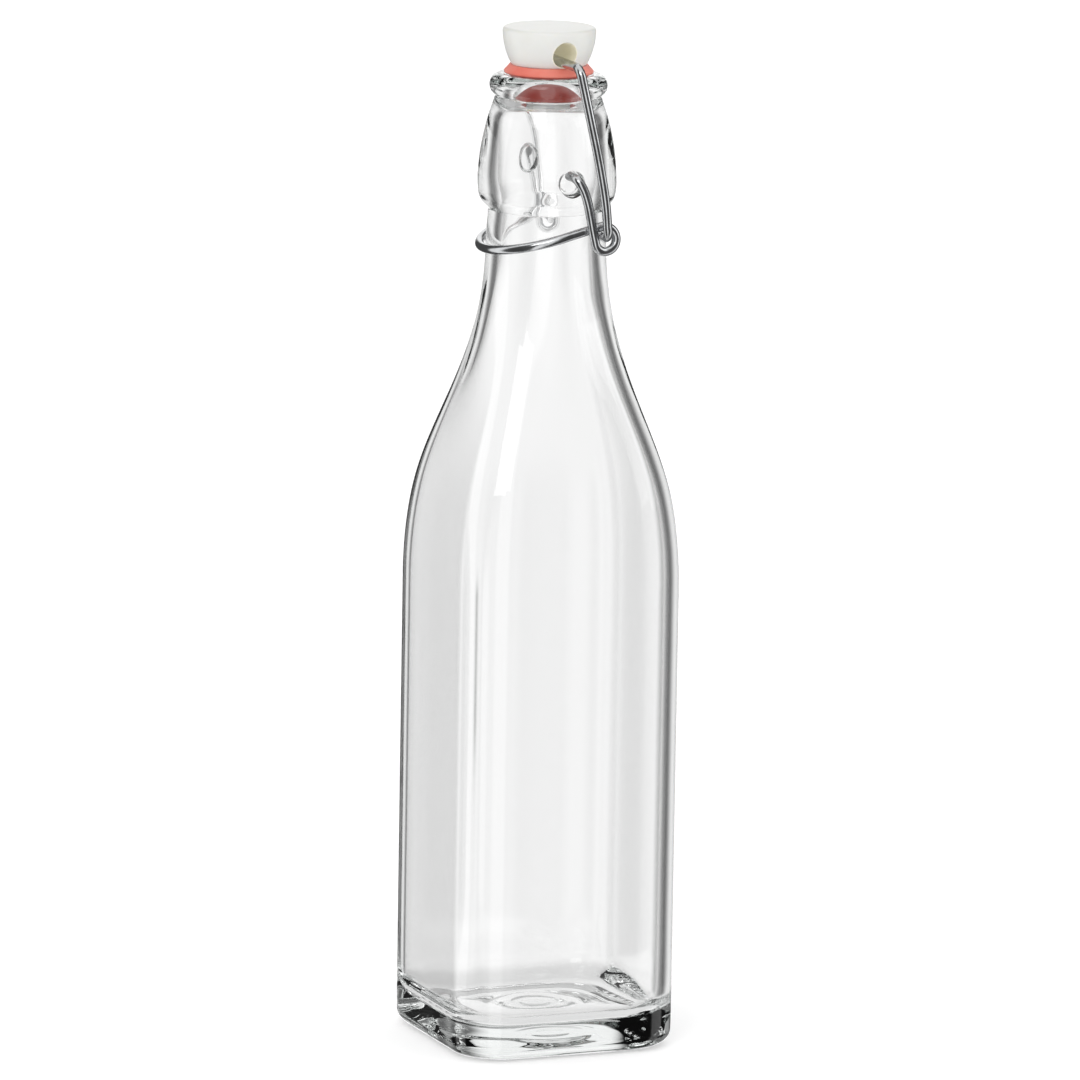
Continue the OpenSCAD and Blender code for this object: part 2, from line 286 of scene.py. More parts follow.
def buildBottle():
    # outside, from the foot up and over the lip
    footHalf = bottle["halfWidth"] - bottle["heel"]
    share = bottle["cornerShare"]
    outer, outerReach = addRoundedSquare("bottleGlass", footHalf, share, 0)
    rings = heelRings(0, footHalf, bottle["heel"], share, 7)
    for i in range(1, 9):
        rings.append((bottle["halfWidth"], share,
                      bottle["heel"] + (bottle["shoulderStart"] - bottle["heel"]) * i / 9))
    steps = bottle["shoulderRings"]
    for i in range(steps + 1):
        z = bottle["shoulderStart"] + (bottle["shoulderEnd"] - bottle["shoulderStart"]) * i / steps
        rings.append((halfWidthAt(z), 1.0 if i == steps else cornerShareAt(z), z))
    startEditing(outer, "FACE")
    bpy.ops.mesh.select_all(action="SELECT")
    growSquareRings(rings, footHalf, share, 0, outerReach)
    neck = bottle["neck"]
    profile = [(bottle["neckTop"], bottle["shoulderEnd"]), (15.8 * mm, 221 * mm), (neck, 222.4 * mm),
               (neck, 223.9 * mm), (neck, 224.35 * mm), (15.78 * mm, 224.5 * mm), (16.25 * mm, 225.0 * mm),
               (17.1 * mm, 225.95 * mm), (17.7 * mm, 226.75 * mm), (18.0 * mm, 227.35 * mm),
               (18.35 * mm, 228.7 * mm)]
    for z in (230.5, 233, 236, 239, 242, 245, 248, 250.4, 252.2, 253.4):
        profile.append((collarAt(z * mm), z * mm))
    profile.append((14.3 * mm, 254.15 * mm))
    profile += arc(bottle["lipCentre"], bottle["lipRadius"], -56, 178, 20)
    profile += [(9.32 * mm, 256.5 * mm), (9.15 * mm, 255.6 * mm), (bottle["bore"], 254.9 * mm)]
    growRings(profile, bottle["neckTop"])
    bpy.ops.mesh.delete(type="ONLY_FACE")
    stopEditing()

    # inside, from the floor up to the bore
    innerShare = ((bottle["halfWidth"] * share + bottle["cornerFill"] - bottle["wall"])
                  / (bottle["halfWidth"] - bottle["wall"]))
    floorHalf = bottle["halfWidth"] - bottle["wall"] - bottle["innerHeel"]
    inner, meanReach = addRoundedSquare("cavity", floorHalf, innerShare, bottle["floor"])
    rings = heelRings(bottle["floor"], floorHalf, bottle["innerHeel"], innerShare, 8)
    low = bottle["floor"] + bottle["innerHeel"]
    for i in range(1, 8):
        rings.append((bottle["halfWidth"] - bottle["wall"], innerShare,
                      low + (bottle["shoulderStart"] - low) * i / 8))
    for i in range(steps + 1):
        z = bottle["shoulderStart"] + (bottle["shoulderEnd"] - bottle["shoulderStart"]) * i / steps
        wall = wallAt(z)
        half = halfWidthAt(z) - wall
        corner = halfWidthAt(z) * cornerShareAt(z) + bottle["cornerFill"] - wall
        rings.append((half, 1.0 if i == steps else min(corner / half, 1), z))
    startEditing(inner, "FACE")
    bpy.ops.mesh.select_all(action="SELECT")
    growSquareRings(rings, floorHalf, innerShare, bottle["floor"], meanReach)
    growRings(bottle["neckInside"], bottle["neckInside"][0][0])
    bpy.ops.mesh.delete(type="ONLY_FACE")
    # a low crown in the middle of the floor
    pickFaces(inner, lambda f: len(f.vertices) > 20)
    growSquareRings(bottle["floorRings"], floorHalf, innerShare, bottle["floor"], meanReach)
    stopEditing()

    # hollow under the foot, with fine round steps towards its middle
    startEditing(outer)
    pickFaces(outer, lambda f: len(f.vertices) > 20)
    growSquareRings(bottle["footRings"], footHalf, share, 0, outerReach)
    # a dimple in every other face of the ring it stands on
    ringMiddle = (bottle["footRings"][0][0] + bottle["footRings"][1][0]) / 2

    def isDimple(face):
        x, y, z = face.center
        if (abs(z) > 1e-5 or abs(face.normal.z) < 0.9 or len(face.vertices) > 4
                or max(abs(x), abs(y)) > footHalf):
            return False
        corners = [outer.data.vertices[i].co for i in face.vertices]
        widest = max(max(abs(c.x), abs(c.y)) for c in corners)
        step = min(abs(x), abs(y)) / bottle["dimplePitch"]
        onFlat = min(abs(x), abs(y)) < ringMiddle * (1 - share)
        return (onFlat and widest > bottle["footRings"][0][0] - 1e-5 and step % 1 < 0.5
                and abs(max(abs(x), abs(y)) - ringMiddle) < 0.4 * mm)

    pickFaces(outer, isDimple)
    bpy.ops.mesh.inset(thickness=0.3 * mm, depth=0, use_individual=True)
    bpy.ops.transform.translate(value=(0, 0, bottle["dimpleDepth"]))
    stopEditing()

    dropSelection()
    inner.select_set(True)
    outer.select_set(True)
    bpy.context.view_layer.objects.active = outer
    bpy.ops.object.join()
    startEditing(outer, "EDGE")
    pickEdges(outer, lambda a, b: abs(a.z - b.z) < 1e-6 and 253.7 * mm < a.z < 255 * mm
              and math.hypot(a.x, a.y) < bottle["bore"] + 0.1 * mm)
    bpy.ops.mesh.bridge_edge_loops()
    stopEditing()
    tidyMesh(outer, 0.000005)
    applyModifier(outer, "SUBSURF", "roundOff", levels=1, render_levels=1)

    # blind sockets for the lever's pins, with softened mouths
    for side in (-1, 1):
        r = bottle["socketRadius"]
        bottom = bottle["socketBottom"]
        cutter = latheRound("socketCutter", [(r - 1.0 * mm, bottom), (r - 0.45 * mm, bottom + 0.12 * mm),
                             (r - 0.1 * mm, bottom + 0.5 * mm),
                                             (r, bottom + 1.1 * mm), (r, 17.6 * mm),
                                             (r + 0.08 * mm, 18.0 * mm),
                                             (r + 0.3 * mm, 18.4 * mm), (r + 0.75 * mm, 18.75 * mm),
                                             (r + 1.6 * mm, 19.2 * mm),
                                             (r + 1.6 * mm, 21 * mm)], 64, False)
        cutter.matrix_world = (Matrix.Translation((0, 0, bottle["socketHeight"]))
                               @ Matrix.Rotation(math.radians(-90 * side), 4, "X"))
        bakePlace(cutter)
        applyModifier(outer, "BOOLEAN", "socket", operation="DIFFERENCE", object=cutter, solver="EXACT")
        bpy.data.objects.remove(cutter)
    smoothFaces(outer, 42)
    return outer


bottleGlass = buildBottle()
print("stage: bottle", len(bottleGlass.data.polygons), "faces")


# stopper

stopper = {
    "radius": 12.4 * mm,
    "top": 273 * mm,
    "crown": 0.12 * mm,
    "edge": 0.95 * mm,
    "sideArc": 18.2 * mm,
    "base": 262.9 * mm,
    "nub": 5.1 * mm,
    "flange": 6.0 * mm,
    "nubLow": 254.0 * mm,
    "hole": 3.3 * mm,
    "holeHeight": 266.57 * mm,
}


def buildStopper():
    s = stopper
    edgeHeight = s["top"] - s["crown"] - s["edge"]
    profile = [(1.6 * mm, s["nubLow"] + 0.35 * mm), (1.9 * mm, s["nubLow"] + 0.05 * mm),
               (2.4 * mm, s["nubLow"]), (s["flange"] - 0.3 * mm, s["nubLow"]),
               (s["flange"] - 0.08 * mm, s["nubLow"] + 0.1 * mm), (s["flange"], s["nubLow"] + 0.3 * mm),
               (s["flange"], s["nubLow"] + 0.75 * mm), (s["flange"] - 0.12 * mm, s["nubLow"] + 0.85 * mm),
               (s["nub"], s["nubLow"] + 0.85 * mm), (s["nub"], s["base"] - 0.2 * mm),
               (s["nub"] + 0.1 * mm, s["base"]), (9.9 * mm, s["base"]), (10.05 * mm, s["base"] + 0.1 * mm)]
    for i in range(1, 12):
        z = s["base"] + 0.15 * mm + (edgeHeight - s["base"] - 0.15 * mm) * i / 11
        profile.append((s["radius"] - s["sideArc"] + math.sqrt(s["sideArc"] ** 2 - (z - edgeHeight) ** 2), z))
    profile += arc((s["radius"] - s["edge"], edgeHeight), s["edge"], 12, 84, 6)
    for share in (0.93, 0.84, 0.7, 0.5, 0.3, 0.12):
        flat = s["radius"] - s["edge"]
        profile.append((flat * share, s["top"] - s["crown"] * share ** 2))
    piece = latheRound("stopperBody", profile, 96, False)

    # cross hole, flared a little where it comes out
    r = s["hole"]
    mouth = 12.1 * mm
    half = [(r, 0.0), (r, mouth - 1.0 * mm), (r + 0.06 * mm, mouth - 0.5 * mm), (r + 0.25 * mm, mouth),
            (r + 0.6 * mm, mouth + 0.35 * mm), (r + 1.4 * mm, mouth + 0.8 * mm),
            (r + 1.4 * mm, mouth + 2 * mm)]
    wholeCutter = [(a, -b) for a, b in reversed(half[1:])] + half
    cutter = latheRound("holeCutter", wholeCutter, 64, False)
    cutter.matrix_world = Matrix.Translation((0, 0, s["holeHeight"])) @ Matrix.Rotation(math.radians(90), 4,
                                                                                        "X")
    bakePlace(cutter)
    applyModifier(piece, "BOOLEAN", "crossHole", operation="DIFFERENCE", object=cutter, solver="EXACT")
    bpy.data.objects.remove(cutter)
    smoothFaces(piece, 38)
    return piece


stopperBody = buildStopper()
print("stage: stopper")


# gasket

gasket = {
    "inner": 5.15 * mm,
    "rim": 11.9 * mm,
    "lip": 260.5 * mm,
    "top": 262.85 * mm,
    "low": 254.9 * mm,
}


def buildGasket():
    g = gasket
    lip = g["lip"]
    profile = [(g["inner"], g["low"] + 0.1 * mm), (g["inner"] + 0.1 * mm, g["low"]), (6.7 * mm, g["low"]),
               (6.88 * mm, g["low"] + 0.15 * mm), (7.6 * mm, lip - 4.75 * mm), (8.35 * mm, lip - 3.7 * mm),
               (9.15 * mm, lip - 2.5 * mm), (9.55 * mm, lip - 1.8 * mm), (9.98 * mm, lip - 1.15 * mm),
               (10.4 * mm, lip - 0.65 * mm), (10.95 * mm, lip - 0.2 * mm), (11.45 * mm, lip + 0.02 * mm),
               (g["rim"] - 0.14 * mm, lip + 0.13 * mm), (g["rim"] - 0.03 * mm, lip + 0.28 * mm),
               (g["rim"], lip + 0.5 * mm), (g["rim"] - 0.04 * mm, lip + 0.72 * mm),
               (g["rim"] - 0.2 * mm, lip + 0.92 * mm), (11.1 * mm, lip + 1.55 * mm),
               (10.62 * mm, g["top"] - 0.25 * mm), (10.45 * mm, g["top"] - 0.05 * mm),
               (10.3 * mm, g["top"]), (g["inner"] + 0.1 * mm, g["top"]), (g["inner"], g["top"] - 0.1 * mm)]
    piece = latheRound("gasketRing", profile, 96, True)
    smoothFaces(piece, 35)
    return piece


gasketRing = buildGasket()
print("stage: gasket")


# wires

wire = {
    "radius": 1.25 * mm,
    "pivotHeight": 235.2,
    "eyeX": 8.8,
    "eyeHeight": 218.6,
    "eyeRadius": 3.25,
    "eyeOut": 20.8,            # how far out the wire comes to the eyelet
    "eyeIn": 18.6,             # and how far out it leaves
    "loopRadius": 17.65,
    "loopSlope": 16,
    "pinTip": 15.7,
    "barHeight": 264.6,
    "hookX": 8.5,
    "hookHeight": 219.1,
    "hookTip": 16.9,
}


def curveThrough(points, steps):
    # smooth curve through the points, the same number of steps in each span
    done = []
    last = len(points) - 1
    for i in range(last):
        before, a, b, after = points[max(i - 1, 0)], points[i], points[i + 1], points[min(i + 2, last)]
        for j in range(steps):
            t = j / steps
            done.append(tuple(p1 + t / 2 * ((p2 - p0) + t * ((2 * p0 - 5 * p1 + 4 * p2 - p3)
                                                             + t * (3 * p1 - p0 - 3 * p2 + p3)))
                              for p0, p1, p2, p3 in zip(before, a, b, after)))
    return done + [points[-1]]


def mirrored(path):
    return [(x, -y, z) for x, y, z in reversed(path)]


def layWire(name, path):
    # one bent length of wire, its two cut ends slightly rounded
    dropSelection()
    bpy.ops.curve.primitive_nurbs_path_add(location=(0, 0, 0))
    line = bpy.context.object
    line.name = name
    line.data.splines.clear()
    spline = line.data.splines.new("POLY")
    spline.points.add(len(path) - 1)
    for point, place in zip(spline.points, path):
        point.co = (place[0] * mm, place[1] * mm, place[2] * mm, 1)
    line.data.dimensions = "3D"
    line.data.twist_mode = "MINIMUM"
    line.data.bevel_depth = wire["radius"]
    line.data.bevel_resolution = 6
    line.data.use_fill_caps = True
    bpy.ops.object.convert(target="MESH")
    piece = bpy.context.object
    bakePlace(piece)
    tidyMesh(piece, 0.000002)
    startEditing(piece, "FACE")
    pickFaces(piece, lambda f: len(f.vertices) > 8)
    bpy.ops.mesh.region_to_loop()
    bpy.ops.mesh.bevel(offset=0.3 * mm, offset_type="OFFSET", segments=3, affect="EDGES", profile=0.5)
    stopEditing()
    tidyMesh(piece, 0.000002)
    smoothFaces(piece, 40)
    return piece


def leverPath():
    w = wire
    rise = w["pivotHeight"] - w["eyeHeight"]
    far = math.hypot(w["eyeX"], rise)
    lean = math.atan2(w["eyeX"], rise) - math.asin(w["eyeRadius"] / far)
    slope = math.radians(w["loopSlope"])
    eyeStart = (w["eyeX"] - w["eyeRadius"] * math.cos(lean), -w["eyeOut"],
                w["eyeHeight"] - w["eyeRadius"] * math.sin(lean))

    def onLeg(share, out, y):
        return (share * eyeStart[0] + out, -y, w["pivotHeight"] + share * (eyeStart[2] - w["pivotHeight"]))

    def loopHeight(x):
        return (w["eyeHeight"] + w["eyeRadius"] * math.cos(slope)
                + (x - w["eyeX"] + w["eyeRadius"] * math.sin(slope)) * math.tan(slope))

    leg = [onLeg(0, 0, 18.2), onLeg(0, 0, 19.2), onLeg(0.02, 0.1, 20.7), onLeg(0.08, 0.35, 21.6),
           onLeg(0.18, 0.75, 21.8), onLeg(0.35, 0.9, 21.6), onLeg(0.55, 0.7, 21.3), onLeg(0.78, 0.3, 21),
           eyeStart]
    half = [(0, -y, w["pivotHeight"]) for y in (w["pinTip"], 16.5)] + curveThrough(leg, 5)
    for i in range(1, 37):
        share = i / 36
        turn = math.pi + lean + share * (math.radians(270) + slope - lean)
        half.append((w["eyeX"] + w["eyeRadius"] * math.cos(turn),
                     -(w["eyeOut"] + share * (w["eyeIn"] - w["eyeOut"])),
                     w["eyeHeight"] + w["eyeRadius"] * math.sin(turn)))
    run = [half[-1]]
    for x in (5, 2):
        run.append((x, -(w["loopRadius"] + x / w["eyeX"] * (w["eyeIn"] - w["loopRadius"])), loopHeight(x)))
    for i in range(37):
        turn = math.radians(270 - 90 * i / 36)
        x = w["loopRadius"] * math.cos(turn)
        run.append((x, w["loopRadius"] * math.sin(turn), loopHeight(x)))
    half += curveThrough(run[:4], 4)[1:] + run[4:]
    return half[:-1] + mirrored(half)


def bailPath():
    w = wire
    length = math.hypot(w["hookX"], w["barHeight"] - w["hookHeight"])
    lean = math.atan2(w["hookX"], w["barHeight"] - w["hookHeight"])

    def onLeg(y, down):
        return (down * math.sin(lean), -y, w["barHeight"] - down * math.cos(lean))

    half = [onLeg(y, 0) for y in (0, 5, 10, 15, 18)]
    for i in range(10):
        turn = math.radians(90 * i / 10)
        half.append(onLeg(19.3 + 3 * math.sin(turn), 3 * (1 - math.cos(turn))))
    bow = [(22.3, 3), (23.6, 12.5), (24.8, 22), (25.3, 30), (25.0, 37), (23.6, length - 3.2)]
    half += [onLeg(*p) for p in curveThrough(bow, 8)]
    for i in range(1, 11):
        turn = math.radians(90 * i / 10)
        half.append(onLeg(20.4 + 3.2 * math.cos(turn), length - 3.2 * (1 - math.sin(turn))))
    half += [onLeg(y, length) for y in (19, 18, w["hookTip"])]
    return mirrored(half)[:-1] + half


leverWire = layWire("leverWire", leverPath())
bailWire = layWire("bailWire", bailPath())
print("stage: wires", len(leverWire.data.polygons), len(bailWire.data.polygons), "faces")


# materials

def newGroup(name, inputs, outputs):
    group = bpy.data.node_groups.new(name, "ShaderNodeTree")
    for title, value in inputs:
        socket = group.interface.new_socket(name=title, in_out="INPUT", socket_type="NodeSocketFloat")
        socket.default_value = value
    for title, kind in outputs:
        group.interface.new_socket(name=title, in_out="OUTPUT", socket_type=kind)
    return group, group.nodes.new("NodeGroupInput"), group.nodes.new("NodeGroupOutput")


def mathNode(tree, operation, a=None, b=None, clamp=False):
    node = tree.nodes.new("ShaderNodeMath")
    node.operation = operation
    node.use_clamp = clamp
    for i, value in enumerate((a, b)):
        if value is None:
            continue
        if isinstance(value, (int, float)):
            node.inputs[i].default_value = value
        else:
            tree.links.new(value, node.inputs[i])
    return node.outputs[0]


def smoothRange(tree, source, fromMin, fromMax, toMin=0.0, toMax=1.0):
    node = tree.nodes.new("ShaderNodeMapRange")
    node.interpolation_type = "SMOOTHSTEP"
    for title, value in (("From Min", fromMin), ("From Max", fromMax), ("To Min", toMin), ("To Max", toMax)):
        node.inputs[title].default_value = value
    tree.links.new(source, node.inputs["Value"])
    return node.outputs["Result"]


def ramp(tree, source, stops):
    node = tree.nodes.new("ShaderNodeValToRGB")
    while len(node.color_ramp.elements) < len(stops):
        node.color_ramp.elements.new(0.5)
    for element, (place, colour) in zip(node.color_ramp.elements, stops):
        element.position = place
        element.color = (*colour, 1) if len(colour) == 3 else colour
    tree.links.new(source, node.inputs[0])
    return node.outputs[0]


def buildGrainGroup():
    # fine two-scale unevenness, with a height and a soft cloud mask
    group, entry, leave = newGroup("surfaceGrain", [("Fine Scale", 900), ("Broad Scale", 60), ("Mix", 0.5)],
                                   [("Height", "NodeSocketFloat"), ("Cloud", "NodeSocketFloat")])
    place = group.nodes.new("ShaderNodeTexCoord")
    fine = group.nodes.new("ShaderNodeTexNoise")
    broad = group.nodes.new("ShaderNodeTexNoise")
    fine.inputs["Detail"].default_value = 4
    broad.inputs["Detail"].default_value = 3
    for noise, title in ((fine, "Fine Scale"), (broad, "Broad Scale")):
        group.links.new(place.outputs["Object"], noise.inputs["Vector"])
        group.links.new(entry.outputs[title], noise.inputs["Scale"])
    blend = group.nodes.new("ShaderNodeMix")
    group.links.new(entry.outputs["Mix"], blend.inputs["Factor"])
    group.links.new(fine.outputs["Fac"], blend.inputs["A"])
    group.links.new(broad.outputs["Fac"], blend.inputs["B"])
    group.links.new(blend.outputs["Result"], leave.inputs["Height"])
    group.links.new(broad.outputs["Fac"], leave.inputs["Cloud"])
    return group


grainGroup = buildGrainGroup()


def newMaterial(name):
    material = bpy.data.materials.new(name)
    material.use_nodes = True
    tree = material.node_tree
    return material, tree, tree.nodes["Principled BSDF"], tree.nodes["Material Output"]


def addGrain(tree, fine, broad, mix):
    node = tree.nodes.new("ShaderNodeGroup")
    node.node_tree = grainGroup
    node.inputs["Fine Scale"].default_value = fine
    node.inputs["Broad Scale"].default_value = broad
    node.inputs["Mix"].default_value = mix
    return node


def addBump(tree, height, strength, distance, shader):
    bump = tree.nodes.new("ShaderNodeBump")
    bump.inputs["Strength"].default_value = strength
    bump.inputs["Distance"].default_value = distance
    tree.links.new(height, bump.inputs["Height"])
    tree.links.new(bump.outputs["Normal"], shader.inputs["Normal"])
    return bump


glassLook = {
    "tint": (1.0, 1.0, 1.0, 1),
    "bend": 1.52,
    "depthTint": (0.80, 0.84, 0.825, 1),
    "depthDensity": 7.0,
    "ridgeAt": -2.1 * mm,
    "ridgeWidth": 4.6 * mm,
    "ridgeHeight": 0.8 * mm,
    "seamWidth": 1.8 * mm,
    "seamShare": 0.07,
}


def makeGlass():
    material, tree, shader, output = newMaterial("bottleGlass")
    shader.inputs["Base Color"].default_value = glassLook["tint"]
    shader.inputs["Roughness"].default_value = 0.0
    shader.inputs["IOR"].default_value = glassLook["bend"]
    shader.inputs["Transmission Weight"].default_value = 1.0
    depth = tree.nodes.new("ShaderNodeVolumeAbsorption")
    depth.inputs["Color"].default_value = glassLook["depthTint"]
    depth.inputs["Density"].default_value = glassLook["depthDensity"]
    tree.links.new(depth.outputs["Volume"], output.inputs["Volume"])

    # moulded surfaces wander a little, and the glass gathered in a soft ridge along one corner
    grain = addGrain(tree, 55, 22, 0.6)
    waves = addBump(tree, grain.outputs["Height"], 0.35, 0.12 * mm, shader)
    place = tree.nodes.new("ShaderNodeTexCoord")
    split = tree.nodes.new("ShaderNodeSeparateXYZ")
    tree.links.new(place.outputs["Object"], split.inputs["Vector"])
    x, y, z = split.outputs
    along = mathNode(tree, "MULTIPLY", mathNode(tree, "SUBTRACT", x, y), math.sqrt(0.5))
    off = mathNode(tree, "ABSOLUTE", mathNode(tree, "SUBTRACT", along, glassLook["ridgeAt"]))
    inCorner = mathNode(tree, "LESS_THAN", mathNode(tree, "ADD", x, y), -20 * mm)
    broad = smoothRange(tree, off, glassLook["ridgeWidth"], 0)
    body = mathNode(tree, "MULTIPLY", smoothRange(tree, z, 12 * mm, 50 * mm),
                    smoothRange(tree, z, 160 * mm, 125 * mm))
    fine = mathNode(tree, "MULTIPLY", smoothRange(tree, off, glassLook["seamWidth"], 0),
                    glassLook["seamShare"])
    middle = mathNode(tree, "MULTIPLY", smoothRange(tree, z, 60 * mm, 95 * mm),
                      smoothRange(tree, z, 138 * mm, 126 * mm))
    height = mathNode(tree, "ADD", mathNode(tree, "MULTIPLY", broad, body),
                      mathNode(tree, "MULTIPLY", fine, middle))
    ridge = tree.nodes.new("ShaderNodeBump")
    ridge.inputs["Strength"].default_value = 1.0
    ridge.inputs["Distance"].default_value = glassLook["ridgeHeight"]
    tree.links.new(mathNode(tree, "MULTIPLY", height, inCorner), ridge.inputs["Height"])
    tree.links.new(ridge.outputs["Normal"], waves.inputs["Normal"])
    return material


plasticLook = {
    "colour": (0.745, 0.75, 0.725),
    "shade": (0.715, 0.715, 0.685),
    "hole": (0.80, 0.76, 0.62),
    "holeGlow": (0.13, 0.125, 0.095),   # light that comes through the wall of the cross hole
}


def makePlastic():
    material, tree, shader, output = newMaterial("stopperPlastic")
    grain = addGrain(tree, 1400, 70, 0.35)
    colour = ramp(tree, grain.outputs["Cloud"], [(0.35, plasticLook["shade"]), (0.6, plasticLook["colour"])])
    # the bore looks creamier, where light only comes through the plastic
    place = tree.nodes.new("ShaderNodeTexCoord")
    split = tree.nodes.new("ShaderNodeSeparateXYZ")
    tree.links.new(place.outputs["Object"], split.inputs["Vector"])
    x, y, z = split.outputs
    offHeight = mathNode(tree, "SUBTRACT", z, stopper["holeHeight"])
    fromAxis = mathNode(tree, "SQRT", mathNode(tree, "ADD", mathNode(tree, "POWER", x, 2),
                                 mathNode(tree, "POWER", offHeight, 2)))
    inHole = tree.nodes.new("ShaderNodeMapRange")
    inHole.inputs["From Min"].default_value = stopper["hole"] + 0.35 * mm
    inHole.inputs["From Max"].default_value = stopper["hole"] + 0.05 * mm
    tree.links.new(fromAxis, inHole.inputs["Value"])
    blend = tree.nodes.new("ShaderNodeMix")
    blend.data_type = "RGBA"
    tree.links.new(inHole.outputs["Result"], blend.inputs["Factor"])
    tree.links.new(colour, blend.inputs["A"])
    blend.inputs["B"].default_value = (*plasticLook["hole"], 1)
    glow = tree.nodes.new("ShaderNodeMix")
    glow.data_type = "RGBA"
    tree.links.new(inHole.outputs["Result"], glow.inputs["Factor"])
    glow.inputs["A"].default_value = (0, 0, 0, 1)
    glow.inputs["B"].default_value = (*plasticLook["holeGlow"], 1)
    tree.links.new(glow.outputs["Result"], shader.inputs["Emission Color"])
    shader.inputs["Emission Strength"].default_value = 1.0
    tree.links.new(blend.outputs["Result"], shader.inputs["Base Color"])
    shader.inputs["Subsurface Weight"].default_value = 0.25
    shader.inputs["Subsurface Radius"].default_value = (1.0, 0.8, 0.5)
    shader.inputs["Subsurface Scale"].default_value = 1.5 * mm
    shader.inputs["IOR"].default_value = 1.49
    rough = ramp(tree, grain.outputs["Height"], [(0.3, (0.30,) * 3), (0.7, (0.42,) * 3)])
    tree.links.new(rough, shader.inputs["Roughness"])
    addBump(tree, grain.outputs["Height"], 0.12, 0.1 * mm, shader)
    return material


rubberLook = {
    "colour": (0.78, 0.17, 0.12),
    "pale": (0.84, 0.25, 0.19),
    # edge is painted shade, the colour given to the ring below its rim
    "edge": (0.62, 0.06, 0.035),
}


def makeRubber():
    material, tree, shader, output = newMaterial("gasketRubber")
    grain = addGrain(tree, 2200, 150, 0.5)
    colour = ramp(tree, grain.outputs["Cloud"], [(0.35, rubberLook["colour"]), (0.65, rubberLook["pale"])])
    # painted shade: the ring is darker below its rim, where it sits down in the glass lip
    place = tree.nodes.new("ShaderNodeTexCoord")
    split = tree.nodes.new("ShaderNodeSeparateXYZ")
    tree.links.new(place.outputs["Object"], split.inputs["Vector"])
    underRimShade = tree.nodes.new("ShaderNodeMapRange")
    underRimShade.inputs["From Min"].default_value = gasket["lip"] + 0.42 * mm
    underRimShade.inputs["From Max"].default_value = gasket["lip"] + 0.12 * mm
    tree.links.new(split.outputs["Z"], underRimShade.inputs["Value"])
    blend = tree.nodes.new("ShaderNodeMix")
    blend.data_type = "RGBA"
    tree.links.new(underRimShade.outputs["Result"], blend.inputs["Factor"])
    tree.links.new(colour, blend.inputs["A"])
    blend.inputs["B"].default_value = (*rubberLook["edge"], 1)
    tree.links.new(blend.outputs["Result"], shader.inputs["Base Color"])
    shader.inputs["Subsurface Weight"].default_value = 0.15
    shader.inputs["Subsurface Radius"].default_value = (1.0, 0.35, 0.25)
    shader.inputs["Subsurface Scale"].default_value = 1.0 * mm
    shader.inputs["Sheen Weight"].default_value = 0.15
    shader.inputs["Sheen Roughness"].default_value = 0.5
    rough = ramp(tree, grain.outputs["Height"], [(0.3, (0.42,) * 3), (0.7, (0.6,) * 3)])
    tree.links.new(rough, shader.inputs["Roughness"])
    addBump(tree, grain.outputs["Height"], 0.2, 0.08 * mm, shader)
    return material


steelLook = {
    # painted light: the wire's colour is lifted toward white where it is seen through the glass
    "paintedLightBehindGlass": 0.8,
    "bright": (0.54, 0.55, 0.56),
    "dull": (0.36, 0.365, 0.37),
}


def makeSteel():
    material, tree, shader, output = newMaterial("wireSteel")
    grain = addGrain(tree, 700, 160, 0.4)
    colour = ramp(tree, grain.outputs["Cloud"], [(0.3, steelLook["dull"]), (0.55, steelLook["bright"])])
    # painted light: seen through the glass, the wire's colour is mixed toward white
    path = tree.nodes.new("ShaderNodeLightPath")
    pale = tree.nodes.new("ShaderNodeMix")
    pale.data_type = "RGBA"
    tree.links.new(mathNode(tree, "MULTIPLY", path.outputs["Is Transmission Ray"],
                            steelLook["paintedLightBehindGlass"]), pale.inputs["Factor"])
    tree.links.new(colour, pale.inputs["A"])
    pale.inputs["B"].default_value = (1, 1, 1, 1)
    tree.links.new(pale.outputs["Result"], shader.inputs["Base Color"])
    shader.inputs["Metallic"].default_value = 1.0
    rough = ramp(tree, grain.outputs["Cloud"], [(0.3, (0.24,) * 3), (0.7, (0.13,) * 3)])
    tree.links.new(rough, shader.inputs["Roughness"])
    addBump(tree, grain.outputs["Height"], 0.10, 0.05 * mm, shader)
    return material


def dress(piece, material, node, body):
    piece.data.materials.clear()
    piece.data.materials.append(material)
    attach(piece, body)
    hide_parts(node)


steel = makeSteel()
dress(bottleGlass, makeGlass(), "bottle", "bottle")
dress(stopperBody, makePlastic(), "stopper", "stopper")
dress(gasketRing, makeRubber(), "gasket", "stopper")
dress(leverWire, steel, "lever_wire", "lever")
dress(bailWire, steel, "bail_wire", "bail")
print("stage: materials")


# floor, light and camera

studio = {
    "floorSize": 16.0,
    "floorColour": (0.93, 0.93, 0.93, 1),
    "floorGlow": 0.34,
    "soft": 0.75,              # even light on matt surfaces
    "haze": 0.95,              # what shows in metal seen through the glass
    "table": 0.8,
    "ceiling": 0.45,
    "gap": 0.14,               # brightness of the dark cards
    "gapFirst": 22.5,          # degrees; they repeat every quarter turn
    "gapCore": 3.0,
    "gapEdge": 28.0,
    "room": 0.09,
    "boxFirst": 67.5,
    "boxHalf": 15.0,
    "target": (0, 0, 137.3 * mm),
    "azimuth": -22.0,
    "elevation": 10.7,
    "distance": 2.873,
    "lens": 359.3,
    "roll": 0.95,
    "aimRight": -0.27 * mm,
    "aimUp": -2.56 * mm,
}


